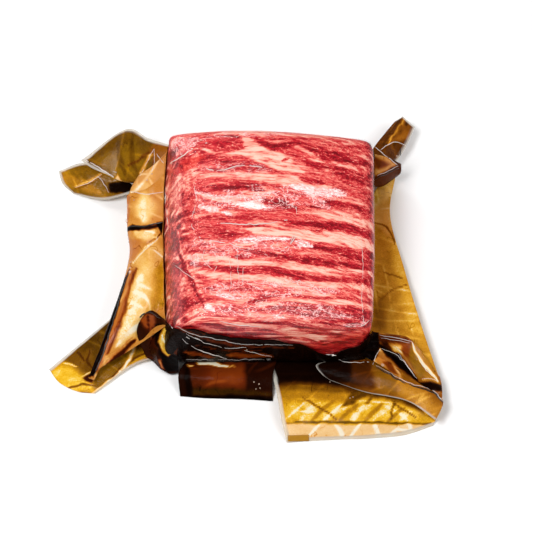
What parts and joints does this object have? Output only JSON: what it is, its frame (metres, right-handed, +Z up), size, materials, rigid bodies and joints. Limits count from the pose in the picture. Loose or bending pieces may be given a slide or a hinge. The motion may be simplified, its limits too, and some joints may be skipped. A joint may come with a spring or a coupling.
{
  "type": "raw beef round block in a sealed film pouch",
  "caption": "Squarish block of marbled raw beef, sealed tight in a pouch with a clear front film and an amber back film that spreads in loose flaps and pleats.",
  "frame": {"origin": "middle of the part's box, on the surface that the pouch lies on", "axes": "+Z up, +X to the right along the widest way across the flaps, +Y away from the broad front flap"},
  "size_m": [0.2576, 0.2434, 0.0717],
  "materials": {
    "raw_beef": "moist raw meat under clear film, glossy",
    "clear_film": "clear glossy film",
    "amber_film": "translucent amber film, glossy"
  },
  "bodies": {
    "root": {"beef_block": "raw_beef", "pouch_film": "amber_film"}
  },
  "joints": []
}
